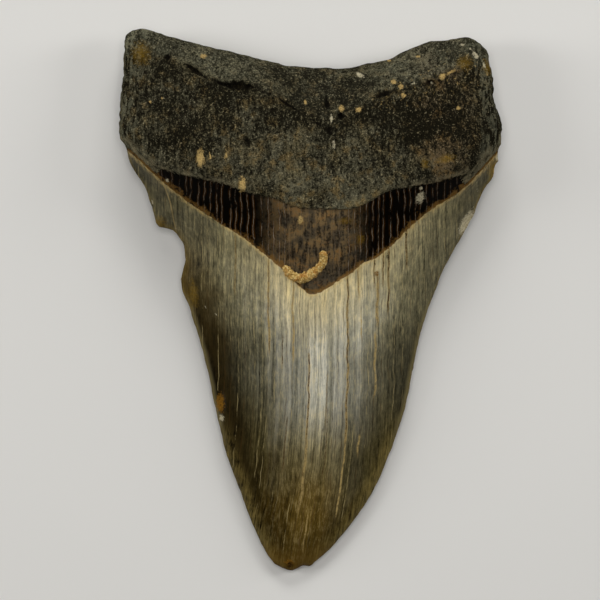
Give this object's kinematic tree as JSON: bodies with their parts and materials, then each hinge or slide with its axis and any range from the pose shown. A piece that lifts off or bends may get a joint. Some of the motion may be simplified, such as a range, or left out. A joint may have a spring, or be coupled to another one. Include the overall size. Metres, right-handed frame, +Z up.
{
  "type": "megalodon tooth",
  "caption": "Worn fossil tooth of a giant shark, lying flat: two-lobed root, dark root neck and broad blade, with a chipped shoulder and a short worm tube.",
  "frame": {"origin": "on the surface that the tooth rests on, under the middle of its outline", "axes": "+Y from the tip to the root, +X across the tooth to the right of the domed side, +Z up through the domed tongue side"},
  "size_m": [0.0862, 0.122, 0.0266],
  "materials": {
    "fossil": "matt dark grey-brown root, near-black glossy root neck, satin grey-olive enamel streaked lengthways"
  },
  "bodies": {
    "root": {"tooth": "fossil"}
  },
  "joints": []
}
